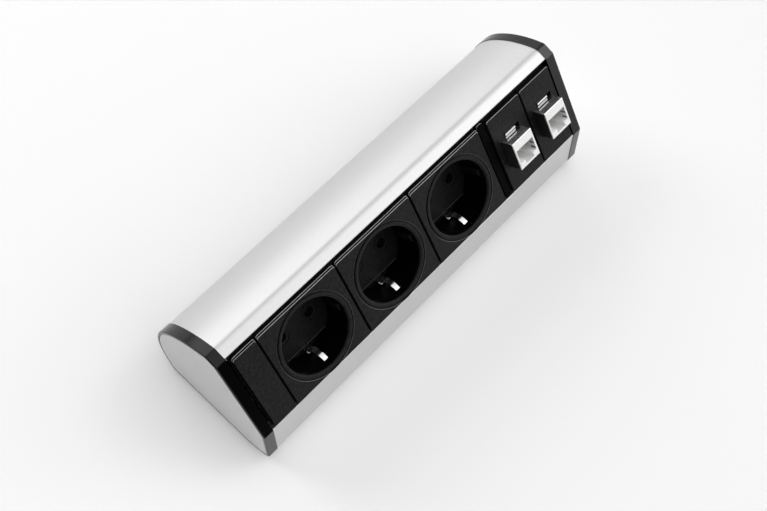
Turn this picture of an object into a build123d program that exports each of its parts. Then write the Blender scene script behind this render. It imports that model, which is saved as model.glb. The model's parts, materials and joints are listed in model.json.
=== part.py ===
"""Desk socket: an aluminium profile with three earthed mains sockets and two data jacks.

All sizes are in millimetres. +X runs along the profile towards the data jacks, +Y goes to the back and +Z
goes up. The origin is at the middle of the underside of the end caps.

The sloping socket face has its own frame: X as above, S up the slope from the lower edge of the module
plates, and N out of the face. Pieces behind the face have negative N.
"""
from build123d import *
import os
from math import asin, atan2, cos, degrees, hypot, radians, sin, sqrt

os.makedirs("parts", exist_ok=True)

# Clearances
slide_gap = 0.1
joint_gap = 0.4
seat_gap = 0.1
running_gap = 0.05
loose_gap = 0.3
same_place = 0.01

# Profile section
foot_height = 32.6
depth = 76.8
face_angle = 50.0
wall = 2.5
bevel_width = 6.5
bevel_drop = 1.5
front_lean = 10.0
nose_height = 8.4
nose_radius = 2.0
sweep_radius = 28.0
back_height = 27.0
back_radius = 40.5
join_angle = 39.9
edge_round = 0.4
ridge_round = 5.0

# Grooves that hold the module flanges
lip_depth = 3.0
groove_reach = 1.6
shelf_thickness = 1.6
beyond = 10.0
lower_shelf_reach = 0.8
upper_shelf_reach = 4.7

# Screw channels and the slot in the underside
boss_radius = 3.1
boss_bite = 0.6
front_boss_rise = 9.3
top_boss_setback = 14.8
low_boss_setback = 15.0
screw_radius = 1.4
slot_mouth = 6.5
slot_width = 12.0
slot_height = 4.3
slot_lip = 2.0
slot_wall = 1.6
slot_setback = 27.5

# Modules
plate_height = 46.0
lower_gap = 0.5
upper_gap = 3.5
flange_thickness = 1.6
skin = 2.0
plate_corner = 1.0
plate_chamfer = 0.35
step_width = 1.0
step_depth = 0.6

# The row, from left to right
row_gap = 1.75
blank_width = 15.25
socket_width = 52.0
socket_count = 3
divider_width = 5.6
data_width = 25.9
end_data_width = 23.9

# Socket front
well_centre = 22.6
well_radius = 19.5
well_depth = 17.5
well_wall = 1.5
well_round = 0.5
floor_thickness = 4.0
ring_radius = 21.8
ring_width = 0.5
ring_depth = 0.4
pin_spacing = 19.0
pin_hole_radius = 2.7
pin_ring_radius = 4.3
pin_ring_width = 0.4
pin_ring_depth = 0.3
recess_chord = 14.2
recess_depth = 3.0
rib_width = 4.0
rib_height = 1.0
rib_start = 4.0

# Earth clip
clip_width = 4.4
clip_thickness = 0.8
clip_arm = 17.6
clip_bow = 15.9
clip_flare = 18.3
clip_top = 6.5
clip_bend_depth = 18.7
clip_bow_depth = 12.5
clip_slot_gap = 0.4
clip_bend = 1.2

# Shutter
shutter_thickness = 2.0
shutter_radius = 13.5
shutter_half_angle = 21.0
shutter_travel = 42.0
shutter_gap = 0.2
hub_radius = 3.4
post_radius = 1.9
sleeve_length = 2.7
slit_web = 0.4
stop_angle = 8.0
stop_clearance = 1.5
stop_inner = 11.2
chamber_radius = 14.6
chamber_depth = 3.4
rail_inner = 5.7
rail_outer = 6.6

# Shutter spring
strip_thickness = 0.25
strip_width = 2.0
spiral_start = 3.75
spiral_step = 0.31
half_turns = 4
spring_pocket_radius = 5.6
spring_pocket_depth = 2.1
tab_inner = 2.6
tab_outer = 6.1

# Socket base
disc_radius = 20.8
disc_thickness = 6.0
box_half_width = 15.5
box_half_height = 8.5
box_depth = 15.5
cavity_half_width = 3.5
cavity_half_height = 3.9
base_screw_place = 18.1
base_screw_radius = 1.05
base_screw_head = 2.0
base_screw_head_height = 1.3
base_screw_grip = 3.0

# Contacts and bars
leaf_thickness = 0.6
leaf_gap = 4.6
leaf_width = 5.0
leaf_start = 0.8
bar_thickness = 1.5
bar_width = 4.0
bar_spacing = 9.0
bar_overhang = 3.0
bar_floor = 1.8
foot_length = 3.0
foot_drop = 1.5
earth_bar_width = 4.0
rivet_radius = 1.0
rivet_head = 1.8
rivet_head_height = 0.8

# Terminal block
terminal_start = 12.0
terminal_length = 25.0
terminal_half_height = 11.0
terminal_cover = 2.2
terminal_back = 6.8
terminal_grip = 12.0
wire_hole_radius = 1.9
clamp_screw_radius = 1.5
clamp_screw_head = 2.1
clamp_screw_head_height = 1.6
clamp_screw_length = 6.0
screw_slot_width = 0.6
screw_slot_depth = 0.8
rib_half_width = 3.2

# Data holder and jack
jack_width = 14.8
jack_height = 16.7
jack_offset = -0.9
jack_centre = 21.8
jack_proud = 7.7
jack_depth = 22.0
jack_wall = 0.5
jack_flange = 0.9
port_width = 11.8
port_height = 6.9
port_top = 5.4
notch_width = 6.4
notch_height = 3.3
port_depth = 14.0
contact_count = 8
contact_pitch = 1.02
contact_wire = 0.23
contact_rise = 2.4
contact_run = 8.4
contact_setback = 3.4
holder_wall = 2.0
holder_depth = 12.0
latch_width = 7.6
latch_slot_width = 11.4
latch_slot_height = 1.9
latch_thickness = 0.7
latch_length = 14.0
latch_proud = 0.6
cap_length = 8.0
cap_inset = 1.0
rear_chamfer = 1.5
rear_floor = 2.0

# End caps and end plates
cap_thickness = 6.0
cap_proud = 0.3
cap_chamfer = 0.5
cap_ridge_round = 2.0
plate_inset = 1.25
plate_thickness = 1.6
plate_edge = 0.3
peg_radius = 1.5
peg_length = 2.5
peg_offset = 8.5
cap_screw_length = 13.0
cap_screw_head = 3.1
cap_screw_head_height = 2.0
cross_length = 2.6
cross_width = 0.7
cross_depth = 1.1

# Cable ways in the right-hand end
cord_radius = 4.1
cord_setback = 21.3
cord_up = 17.5
grommet_wall = 1.9
grommet_flange = 1.7
grommet_flange_thickness = 2.0
data_cable_radius = 3.0
data_cable_spacing = 8.0
data_setback = 27.3
data_up = 42.0
data_grommet_radius = 8.2
clamp_half_width = 11.0
clamp_length = 8.0
clamp_bar_height = 5.6
saddle_depth = 9.0
clamp_screw_place = 7.6
cord_screw_head = 2.5
cord_screw_grip = 5.0

tilt = radians(face_angle)
lean = radians(front_lean)
opening_low = -lower_gap
opening_high = plate_height + upper_gap
height = foot_height + opening_high * sin(tilt) + bevel_drop


def on_face(s, n=0.0):
    """Section point (Y, Z) of a place on the socket face frame."""
    return (s * cos(tilt) - n * sin(tilt), foot_height + s * sin(tilt) + n * cos(tilt))


front_edge = on_face(opening_low)
back_edge = on_face(opening_high)
ridge = (back_edge[0] + bevel_width, height)
front_run = (front_edge[1] - nose_radius * sin(lean) - nose_height) / cos(lean)
nose_centre = (front_edge[0] - front_run * sin(lean) + nose_radius * cos(lean), nose_height)
section_front = nose_centre[0] - nose_radius
section_back = section_front + depth
slot_middle = section_front + slot_setback
cord_back = section_back - cord_setback
data_back = section_back - data_setback
sweep_reach = sqrt((sweep_radius - nose_radius) ** 2 - (sweep_radius - nose_height) ** 2)
sweep_centre = (nose_centre[0] + sweep_reach, sweep_radius)
back_centre = (section_back - back_radius, back_height)
heel = (back_centre[0] + sqrt(back_radius ** 2 - back_height ** 2), 0.0)

# The crown's arc leaves the back's arc at the join and ends at the ridge
join = radians(join_angle)
reach = (ridge[0] - back_centre[0], ridge[1] - back_centre[1])
along_join = reach[0] * cos(join) + reach[1] * sin(join)
crown_radius = ((hypot(*reach) ** 2 + back_radius ** 2 - 2 * back_radius * along_join)
                / (2 * (back_radius - along_join)))
radius_step = crown_radius - back_radius
crown_centre = (back_centre[0] - radius_step * cos(join), back_centre[1] - radius_step * sin(join))
ridge_turn = asin((ridge[1] - crown_centre[1]) / crown_radius)

profile_length = (row_gap + blank_width + socket_count * socket_width + divider_width + data_width
                  + end_data_width + joint_gap / 2)
profile_end = profile_length / 2
blank_start = row_gap - profile_end
sockets_start = blank_start + blank_width
divider_start = sockets_start + socket_count * socket_width
data_start = divider_start + divider_width
socket_centres = [sockets_start + (k + 0.5) * socket_width for k in range(socket_count)]
data_centres = [data_start + (k + 0.5) * data_width for k in range(2)]

flange_top = -lip_depth - slide_gap
flange_bottom = flange_top - flange_thickness
shelf_top = flange_bottom - slide_gap
floor_top = -well_depth
floor_bottom = floor_top - floor_thickness
chamber_floor = floor_bottom - chamber_depth
box_top = floor_bottom - disc_thickness
box_bottom = box_top - box_depth
pocket_floor = chamber_floor - spring_pocket_depth
bar_top = box_bottom + bar_floor + bar_thickness
bar_bottom = bar_top - bar_thickness
bridge_top = box_bottom - seat_gap
bridge_bottom = bridge_top - clip_thickness
earth_bottom = bridge_bottom - bar_thickness
shutter_top = floor_bottom - shutter_gap
shutter_bottom = shutter_top - shutter_thickness
jack_back = -jack_depth

# Whole model: the caps stand on Z = 0 and the depth is centred on Y = 0
to_row = Pos(0, -(section_front + section_back) / 2, cap_proud)
face = Plane(origin=(0, 0, foot_height), x_dir=(1, 0, 0), z_dir=(0, -sin(tilt), cos(tilt)))


def save(name, shape):
    """Write one sub-part, moved from the section frame to the row frame."""
    export_step(to_row * shape, f"parts/{name}.step")


def save_face(name, shape):
    """Write one sub-part that was modelled in the face frame."""
    save(name, face.location * shape)


def block(x, s, n):
    """A box between two values along each axis."""
    centre = Pos((x[0] + x[1]) / 2, (s[0] + s[1]) / 2, (n[0] + n[1]) / 2)
    return centre * Box(abs(x[1] - x[0]), abs(s[1] - s[0]), abs(n[1] - n[0]))


def disc(radius, x, s, n):
    """A cylinder along N between two values of N."""
    return Pos(x, s, (n[0] + n[1]) / 2) * Cylinder(radius, abs(n[1] - n[0]))


def arc(centre, radius, start, end):
    """A section arc about a centre, between two angles in degrees."""
    angles = [radians(a) for a in (start, (start + end) / 2, end)]
    return ThreePointArc(*[(centre[0] + radius * cos(a), centre[1] + radius * sin(a)) for a in angles])


def prism(sketch, start, end):
    """A section sketch carried along X."""
    return extrude(Plane.YZ.offset(min(start, end)) * sketch, amount=abs(end - start))


def rod(radius, place, start, end):
    """A cylinder along X at a section point."""
    return prism(Pos(*place) * Circle(radius), start, end)


def outline():
    """The outer section: front, nose, underside, back, crown and bevel, closed along the socket face."""
    nose_turn = degrees(atan2(sweep_centre[1] - nose_centre[1], sweep_centre[0] - nose_centre[0])) - 180
    heel_angle = -degrees(asin(back_height / back_radius))
    nose_arc = arc(nose_centre, nose_radius, 180 - front_lean, 360 + nose_turn)
    sweep_arc = arc(sweep_centre, sweep_radius, 360 + nose_turn, 270)
    back_arc = arc(back_centre, back_radius, heel_angle, join_angle)
    crown_arc = arc(crown_centre, crown_radius, join_angle, degrees(ridge_turn))
    lines = [Line(front_edge, nose_arc @ 0), nose_arc, sweep_arc, Line(sweep_arc @ 1, back_arc @ 0), back_arc,
             crown_arc, Line(crown_arc @ 1, back_edge), Line(back_edge, front_edge)]
    return make_face(lines)


section = outline()


def face_patch(s, n):
    """A section rectangle given in the face frame."""
    corners = [on_face(s[0], n[0]), on_face(s[1], n[0]), on_face(s[1], n[1]), on_face(s[0], n[1])]
    return make_face(Polyline(*corners, close=True))


def boss_places():
    """Section points of the screw channels, each just inside the wall."""
    inset = wall + boss_radius - boss_bite
    front_drop = front_run - front_boss_rise
    front = (front_edge[0] - front_drop * sin(lean) + inset * cos(lean),
             front_edge[1] - front_drop * cos(lean) - inset * sin(lean))
    top_angle = ridge_turn - top_boss_setback / crown_radius
    top = (crown_centre[0] + (crown_radius - inset) * cos(top_angle),
           crown_centre[1] + (crown_radius - inset) * sin(top_angle))
    rear = (back_centre[0] + (back_radius - inset), back_centre[1])
    low = (section_back - low_boss_setback, inset)
    return [front, top, rear, low]


bosses = boss_places()


def round_long_edges(body, places, radius):
    """Fillet of the X edges nearest to section points."""
    edges = body.edges().filter_by(Axis.X)
    corners = [min(edges, key=lambda edge: hypot(edge.center().Y - y, edge.center().Z - z)) for y, z in places]
    return fillet(corners, radius)


def aluminium_profile():
    """The extruded shell with its module grooves, screw channels and slot."""
    cavity = offset(section, amount=-wall, kind=Kind.INTERSECTION)
    shell = section - cavity - face_patch((opening_low, opening_high), (-lip_depth - wall, wall))
    shelf_span = (shelf_top - shelf_thickness, shelf_top)
    lower_shelf = face_patch((opening_low - beyond, lower_shelf_reach), shelf_span)
    upper_shelf = face_patch((opening_high - upper_shelf_reach, opening_high + beyond), shelf_span)
    surround_span = (shelf_top - shelf_thickness, 0)
    surrounds = (face_patch((opening_low - beyond, opening_low), surround_span)
                 + face_patch((opening_high, opening_high + beyond), surround_span))
    grooves = (face_patch((opening_low - groove_reach, opening_low), (shelf_top, -lip_depth))
               + face_patch((opening_high, opening_high + groove_reach), (shelf_top, -lip_depth)))
    slot_half = slot_width / 2 + slot_wall
    slot_block = Pos(slot_middle, (slot_lip + slot_height + slot_wall) / 2) * Rectangle(
        2 * slot_half, slot_lip + slot_height + slot_wall)
    ribs = lower_shelf + upper_shelf + surrounds + slot_block
    for place in bosses:
        ribs += Pos(*place) * Circle(boss_radius)
    shell = shell + (ribs & section) - grooves
    shell -= Pos(slot_middle, slot_lip + slot_height / 2) * Rectangle(slot_width, slot_height)
    shell -= Pos(slot_middle, slot_lip / 2) * Rectangle(slot_mouth, slot_lip)
    for place in bosses:
        shell -= Pos(*place) * Circle(screw_radius + running_gap)
    profile = prism(shell, -profile_end, profile_end)
    profile = round_long_edges(profile, [front_edge, back_edge, heel], edge_round)
    return round_long_edges(profile, [ridge], ridge_round)


def end_cap(with_cables):
    """Left-hand cap: a proud rim, a recess for its plate, screw seats and peg holes."""
    inner = -profile_end
    outer = inner - cap_thickness
    web = outer + plate_thickness + seat_gap
    cap = prism(offset(section, amount=cap_proud, kind=Kind.INTERSECTION), outer, inner)
    cap = round_long_edges(cap, [ridge], cap_ridge_round)
    cap = chamfer(cap.faces().sort_by(Axis.X)[0].outer_wire().edges(), cap_chamfer)
    cap -= prism(offset(section, amount=-plate_inset, kind=Kind.INTERSECTION), outer, web)
    for place in bosses:
        cap -= rod(screw_radius + loose_gap, place, outer, inner)
        cap -= rod(cap_screw_head + loose_gap, place, outer, web + cap_screw_head_height + seat_gap)
    for place in peg_places():
        cap -= rod(peg_radius + seat_gap, place, outer, inner)
    if with_cables:
        cap -= rod(cord_radius + grommet_wall, (cord_back, cord_up), outer, inner)
        cap -= rod(data_grommet_radius, (data_back, data_up), outer, inner)
        cap += clamp_saddle()
    return cap


def peg_places():
    """Section points of the end plate's pegs."""
    return [(bosses[0][0] + peg_offset, bosses[0][1]), (bosses[1][0] - peg_offset, bosses[1][1])]


def end_plate(with_cables):
    """Left-hand plate with two pegs; its outer face is flush with the rim of the cap."""
    outer = -profile_end - cap_thickness
    inner = outer + plate_thickness
    plate = prism(offset(section, amount=-plate_inset - seat_gap, kind=Kind.INTERSECTION), outer, inner)
    plate = chamfer(plate.faces().sort_by(Axis.X)[0].outer_wire().edges(), plate_edge)
    for place in peg_places():
        plate += rod(peg_radius, place, inner, inner + peg_length)
    if with_cables:
        plate -= rod(cord_radius + grommet_wall, (cord_back, cord_up), outer, inner)
        plate -= rod(data_grommet_radius, (data_back, data_up), outer, inner)
    return plate


def cap_screws():
    """Eight self-tapping screws, four to a cap, with pan heads and cross recesses."""
    web = -profile_end - cap_thickness + plate_thickness + seat_gap
    seat = web + cap_screw_head_height
    screws = []
    for place in bosses:
        screw = rod(screw_radius, place, seat, seat + cap_screw_length)
        screw += rod(cap_screw_head, place, web, seat)
        cross = Rectangle(cross_length, cross_width) + Rectangle(cross_width, cross_length)
        screw -= prism(Pos(*place) * cross, web, web + cross_depth)
        screws += [screw, mirror(screw, about=Plane.YZ)]
    return Compound(children=screws)


def clamp_saddle():
    """The fixed half of the cord clamp, on the inside of the cap."""
    start = -profile_end
    saddle_top = cord_up - loose_gap / 2
    end = start + grommet_flange_thickness + clamp_length
    sketch = Pos(cord_back, saddle_top - saddle_depth / 2) * Rectangle(2 * clamp_half_width, saddle_depth)
    saddle = prism(sketch, start, end)
    flange_radius = cord_radius + grommet_wall + grommet_flange + loose_gap
    saddle -= rod(flange_radius, (cord_back, cord_up), start, start + grommet_flange_thickness + loose_gap)
    saddle -= rod(cord_radius, (cord_back, cord_up), start, end)
    for side in (-1, 1):
        saddle -= clamp_bore(side, saddle_top, clamp_screw_radius + running_gap)
    return saddle


def clamp_middle():
    """X of the middle of the cord clamp at the left-hand end."""
    return -profile_end + grommet_flange_thickness + clamp_length / 2 + loose_gap


def clamp_bore(side, top, radius, drop=clamp_screw_length):
    """A vertical cylinder at one screw of the cord clamp, from a height downwards."""
    return Pos(clamp_middle(), cord_back + side * clamp_screw_place, top - drop / 2) * Cylinder(radius, drop)


def cord_clamp():
    """The loose bar of the cord clamp."""
    low = cord_up + loose_gap / 2
    start = -profile_end + grommet_flange_thickness + 2 * loose_gap
    end = -profile_end + grommet_flange_thickness + clamp_length
    bar = prism(Pos(cord_back, low + clamp_bar_height / 2) * Rectangle(
        2 * clamp_half_width, clamp_bar_height), start, end)
    bar -= rod(cord_radius, (cord_back, cord_up), start, end)
    for side in (-1, 1):
        bar -= clamp_bore(side, low + clamp_bar_height, clamp_screw_radius + loose_gap, clamp_bar_height)
    return bar


def cord_clamp_screws():
    """The two screws of the cord clamp."""
    top = cord_up + loose_gap / 2 + clamp_bar_height
    screws = []
    for side in (-1, 1):
        screw = clamp_bore(side, top, clamp_screw_radius, clamp_bar_height + cord_screw_grip)
        screw += clamp_bore(side, top + clamp_screw_head_height, cord_screw_head, clamp_screw_head_height)
        screws.append(screw)
    return Compound(children=screws)


def cord_grommet():
    """Bush for the mains cord, with its flange inside the cap."""
    outer = -profile_end - cap_thickness
    inner = -profile_end + seat_gap
    body = rod(cord_radius + grommet_wall - seat_gap, (cord_back, cord_up), outer, inner)
    body += rod(cord_radius + grommet_wall + grommet_flange, (cord_back, cord_up), inner,
                inner + grommet_flange_thickness)
    return body - rod(cord_radius, (cord_back, cord_up), outer, inner + grommet_flange_thickness)


def data_grommet():
    """Bush for the two data cables, with its flange inside the cap."""
    outer = -profile_end - cap_thickness
    inner = -profile_end + seat_gap
    body = rod(data_grommet_radius - seat_gap, (data_back, data_up), outer, inner)
    end = inner + grommet_flange_thickness
    body += rod(data_grommet_radius + grommet_flange, (data_back, data_up), inner, end)
    for side in (-1, 1):
        place = (data_back, data_up + side * data_cable_spacing / 2)
        body -= rod(data_cable_radius, place, outer, end)
    return body


def module_plate(width, stepped=True):
    """A front plate with its flanges, hollow behind; X is centred, S starts at the lower edge."""
    half = width / 2
    plate = block((-half, half), (0, plate_height), (flange_bottom, 0))
    plate = fillet(plate.edges().filter_by(Axis.Z), min(plate_corner, half / 3))
    if stepped:
        plate -= block((-half, half), (plate_height - step_width, plate_height), (-step_depth, 0))
    plate = chamfer(plate.faces().sort_by(Axis.Z)[-1].outer_wire().edges(), plate_chamfer)
    low = opening_low - groove_reach + slide_gap
    high = opening_high + groove_reach - slide_gap
    plate += block((-half, half), (low, high), (flange_bottom, flange_top))
    rim = min(skin, half / 2)
    return plate - block((-half + rim, half - rim), (rim, plate_height - rim), (flange_bottom, -skin))


def socket_front():
    """Socket module front: plate, ring groove, well, guide ribs, earth recesses and pin holes."""
    front = module_plate(socket_width - joint_gap)
    front += disc(well_radius + well_wall, 0, well_centre, (floor_bottom, -skin / 2))
    ring = disc(ring_radius + ring_width, 0, well_centre, (-ring_depth, 0))
    front -= ring - disc(ring_radius, 0, well_centre, (-ring_depth, 0))
    front -= disc(well_radius, 0, well_centre, (floor_top, 0))
    mouth = front.edges().filter_by(GeomType.CIRCLE).filter_by(
        lambda edge: abs(edge.radius - well_radius) < same_place and abs(edge.center().Z) < same_place)
    front = fillet(mouth, well_round)
    front += guide_ribs()
    front -= earth_recesses()
    groove = (floor_top - pin_ring_depth, floor_top)
    for side in (-1, 1):
        pin = side * pin_spacing / 2
        front -= disc(pin_hole_radius, pin, well_centre, (floor_bottom, floor_top))
        front -= (disc(pin_ring_radius + pin_ring_width, pin, well_centre, groove)
                  - disc(pin_ring_radius, pin, well_centre, groove))
        front -= disc(base_screw_radius + running_gap, side * base_screw_place, well_centre,
                      (floor_bottom, floor_bottom + base_screw_grip + seat_gap))
    return front


def guide_ribs():
    """Two ribs on the wall of the well, in line with the pin holes."""
    span = (floor_top, -rib_start)
    ribs = block((-well_radius - well_wall / 2, well_radius + well_wall / 2),
                 (well_centre - rib_width / 2, well_centre + rib_width / 2), span)
    ribs -= block((rib_height - well_radius, well_radius - rib_height),
                  (well_centre - rib_width, well_centre + rib_width), span)
    return ribs


def earth_recesses():
    """The two recesses in the floor of the well and the slots for the earth clip's arms."""
    span = (floor_top - recess_depth, floor_top)
    between = (well_centre - recess_chord, well_centre + recess_chord)
    recess = disc(well_radius, 0, well_centre, span) - block((-well_radius, well_radius), between, span)
    return recess + arm_slots(floor_bottom, floor_top)


def arm_slots(low, high):
    """Slots for the two arms of an earth clip."""
    half = clip_width / 2 + clip_slot_gap
    reach = clip_thickness / 2 + clip_slot_gap
    near = clip_arm - reach
    far = clip_arm + reach
    both = block((-half, half), (well_centre - far, well_centre + far), (low, high))
    return both - block((-half, half), (well_centre - near, well_centre + near), (low, high))


def sector(inner, outer, start, end, n):
    """A ring sector about the well's axis, between two angles in degrees."""
    corners = [(0, 0)] + [(2 * outer * cos(radians(a)), 2 * outer * sin(radians(a)))
                          for a in (start, (start + end) / 2, end)]
    wedge = make_face(Polyline(*corners, close=True)) & (Circle(outer) - Circle(inner))
    return Pos(0, well_centre, min(n)) * extrude(wedge, amount=abs(n[1] - n[0]))


def shutter():
    """Child-safety shutter: a hub with two wings over the pin holes."""
    span = (shutter_bottom, shutter_top)
    rotor = disc(rail_outer, 0, well_centre, span)
    for turn in (0, 180):
        edges = (turn - shutter_half_angle, turn + shutter_half_angle)
        rotor += sector(hub_radius, shutter_radius, *edges, span)
    sleeve_bottom = shutter_bottom - sleeve_length
    rotor += disc(hub_radius, 0, well_centre, (sleeve_bottom, shutter_bottom))
    rotor -= disc(post_radius + running_gap, 0, well_centre, (sleeve_bottom, shutter_top))
    slit = strip_thickness / 2 + slide_gap
    return rotor - block((0, hub_radius), (well_centre - slit, well_centre + slit),
                         (sleeve_bottom, shutter_bottom - slit_web))


def shutter_spring():
    """Flat spiral spring round the shutter's sleeve, with a tab into the sleeve and one into the base."""
    strips = []
    for k in range(half_turns):
        centre = (spiral_step * (k % 2), 0)
        radius = spiral_start + k * spiral_step
        ring = Pos(*centre) * (Circle(radius + strip_thickness / 2) - Circle(radius - strip_thickness / 2))
        side = 1 - 2 * (k % 2)
        strips.append(ring & Pos(centre[0], side * tab_outer) * Rectangle(4 * tab_outer, 2 * tab_outer))
    end = spiral_start + half_turns * spiral_step
    tabs = (Pos((tab_inner + spiral_start) / 2, 0) * Rectangle(spiral_start - tab_inner, strip_thickness)
            + Pos((tab_outer + end) / 2, 0) * Rectangle(tab_outer - end, strip_thickness))
    low = pocket_floor + seat_gap
    return Pos(0, well_centre, low) * extrude(Sketch() + strips + tabs, amount=strip_width)


def stops(start):
    """Two lugs that end the shutter's turn, from one angle on."""
    span = (chamber_floor, shutter_top - shutter_gap)
    end = start + stop_angle
    return (sector(stop_inner, chamber_radius, start, end, span)
            + sector(stop_inner, chamber_radius, start + 180, end + 180, span))


def socket_base():
    """Rear body of a socket: shutter chamber, spring pocket, contact cavities and bar tunnels."""
    base = disc(disc_radius, 0, well_centre, (box_top, floor_bottom))
    base += block((-box_half_width, box_half_width),
                  (well_centre - box_half_height, well_centre + box_half_height), (box_bottom, box_top))
    base -= disc(chamber_radius, 0, well_centre, (chamber_floor, floor_bottom))
    rail = disc(rail_outer, 0, well_centre, (chamber_floor, shutter_bottom - shutter_gap))
    base += rail - disc(rail_inner, 0, well_centre, (chamber_floor, floor_bottom))
    base -= disc(spring_pocket_radius, 0, well_centre, (pocket_floor, chamber_floor))
    base += stops(-shutter_half_angle - stop_clearance - stop_angle)
    base += stops(shutter_half_angle + shutter_travel + stop_clearance)
    base += disc(post_radius, 0, well_centre, (pocket_floor, shutter_top))
    slit = strip_thickness / 2 + slide_gap
    base -= block((0, tab_outer + slide_gap), (well_centre - slit, well_centre + slit),
                  (pocket_floor, chamber_floor))
    for side in (-1, 1):
        base -= contact_cavity(side)
        base -= bar_block(side, (-box_half_width, box_half_width), slide_gap)
        base -= disc(base_screw_radius + loose_gap, side * base_screw_place, well_centre,
                     (box_top, floor_bottom))
    return base - arm_slots(box_top, floor_bottom)


def contact_cavity(side):
    """Cavity for one pin contact, with a window over its own bar."""
    pin = side * pin_spacing / 2
    cavity = block((pin - cavity_half_width, pin + cavity_half_width),
                   (well_centre - cavity_half_height, well_centre + cavity_half_height),
                   (bar_top + foot_drop, chamber_floor))
    near = well_centre + side * (leaf_gap / 2 - loose_gap)
    far = well_centre + side * (bar_spacing / 2 + bar_width / 2)
    return cavity + block((pin - cavity_half_width, pin + cavity_half_width), (near, far),
                          (bar_top, bar_top + foot_drop))


def pin_contact(side):
    """One sprung contact: two leaves, a bridge and a foot on its bar."""
    pin = side * pin_spacing / 2
    x = (pin - leaf_width / 2, pin + leaf_width / 2)
    top = chamber_floor - leaf_start
    bridge = bar_top + foot_drop + seat_gap
    outer = leaf_gap / 2 + leaf_thickness
    body = block(x, (well_centre - outer, well_centre + outer), (bridge, top))
    body -= block(x, (well_centre - leaf_gap / 2, well_centre + leaf_gap / 2), (bridge + leaf_thickness, top))
    inner = well_centre + side * leaf_gap / 2
    body += block(x, (inner, inner + side * leaf_thickness), (bar_top, bridge + leaf_thickness))
    return body + block(x, (inner, inner + side * foot_length), (bar_top, bar_top + leaf_thickness))


def bar_block(side, x, gap=0.0):
    """The space of a live or neutral bar between two values of X, grown by a gap."""
    middle = well_centre + side * bar_spacing / 2
    half = bar_width / 2 + gap
    return block(x, (middle - half, middle + half), (bar_bottom - gap, bar_top))


def earth_clip():
    """Bent strip with an arm up each side of the well and a bridge across the back of the base."""
    half = clip_thickness / 2
    path = [(0, bridge_top - half), (clip_arm, bridge_top - half), (clip_arm, -clip_bend_depth),
            (clip_bow, -clip_bow_depth), (clip_flare, -clip_top)]
    strip = FilletPolyline(*path, radius=clip_bend)
    profile = offset(strip, amount=half, side=Side.BOTH)
    arm = extrude(make_face(profile.edges()), amount=clip_width)
    arm = Plane(origin=(-clip_width / 2, well_centre, 0), x_dir=(0, 1, 0), z_dir=(1, 0, 0)).location * arm
    clip = arm + Pos(0, 2 * well_centre, 0) * mirror(arm, about=Plane.XZ)
    return clip - disc(rivet_radius + running_gap, 0, well_centre, (bridge_bottom, bridge_top))


def bar_span():
    """X of the two ends of the bars: from the first socket to inside the terminal block."""
    return (socket_centres[0] - box_half_width - bar_overhang, divider_start + terminal_start + terminal_grip)


def pin_bar(side):
    """Live or neutral bar behind all sockets."""
    return bar_block(side, bar_span())


def earth_bar():
    """Earth bar, riveted to the bridge of each earth clip."""
    bar = block(bar_span(), (well_centre - earth_bar_width / 2, well_centre + earth_bar_width / 2),
                (earth_bottom, bridge_bottom))
    for centre in socket_centres:
        bar -= disc(rivet_radius + running_gap, centre, well_centre, (earth_bottom, bridge_bottom))
    return bar


def earth_rivets():
    """One rivet for each earth clip, clenched flush with the upper side of the bridge."""
    rivets = []
    for centre in socket_centres:
        rivet = disc(rivet_radius, centre, well_centre, (earth_bottom, bridge_top))
        rivet += disc(rivet_head, centre, well_centre, (earth_bottom - rivet_head_height, earth_bottom))
        rivets.append(rivet)
    return Compound(children=rivets)


def base_screws():
    """Two screws for each socket, from the base into its front."""
    screws = []
    for centre in socket_centres:
        for side in (-1, 1):
            x = centre + side * base_screw_place
            screw = disc(base_screw_radius, x, well_centre, (box_top, floor_bottom + base_screw_grip))
            screw += disc(base_screw_head, x, well_centre, (box_top - base_screw_head_height, box_top))
            screws.append(screw)
    return Compound(children=screws)


def terminal_span():
    """X of the two ends of the terminal block."""
    start = divider_start + terminal_start
    return (start, start + terminal_length)


def terminal_levels():
    """For each pole: its S, the N of its bar's underside and the N of the block's back over it."""
    back_of_block = bar_bottom - terminal_back
    return [(well_centre + bar_spacing / 2, bar_bottom, back_of_block),
            (well_centre - bar_spacing / 2, bar_bottom, back_of_block),
            (well_centre, earth_bottom, earth_bottom - terminal_back)]


def terminal_block():
    """Insulating block round the ends of the bars, with wire holes and screw wells."""
    x = terminal_span()
    top = bar_top + terminal_cover
    low = bar_bottom - terminal_back
    body = block(x, (well_centre - terminal_half_height, well_centre + terminal_half_height), (low, top))
    body += block(x, (well_centre - rib_half_width, well_centre + rib_half_width),
                  (earth_bottom - terminal_back, low))
    grip_end = x[0] + terminal_grip + seat_gap
    for side in (-1, 1):
        body -= bar_block(side, (x[0], grip_end), slide_gap)
    body -= block((x[0], grip_end), (well_centre - earth_bar_width / 2 - slide_gap,
                                     well_centre + earth_bar_width / 2 + slide_gap),
                  (earth_bottom - slide_gap, bridge_bottom + slide_gap))
    for place, bar_low, back_level in terminal_levels():
        hole = Pos((x[1] + grip_end) / 2, place, bar_low) * Rot(0, 90, 0) * Cylinder(
            wire_hole_radius, x[1] - grip_end)
        body -= hole
        body -= disc(clamp_screw_radius + running_gap, x[0] + terminal_grip / 2, place, (back_level, bar_low))
        body -= disc(clamp_screw_head + loose_gap, x[0] + terminal_grip / 2, place,
                     (back_level, bar_low - clamp_screw_length + clamp_screw_head_height))
    return body


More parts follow.
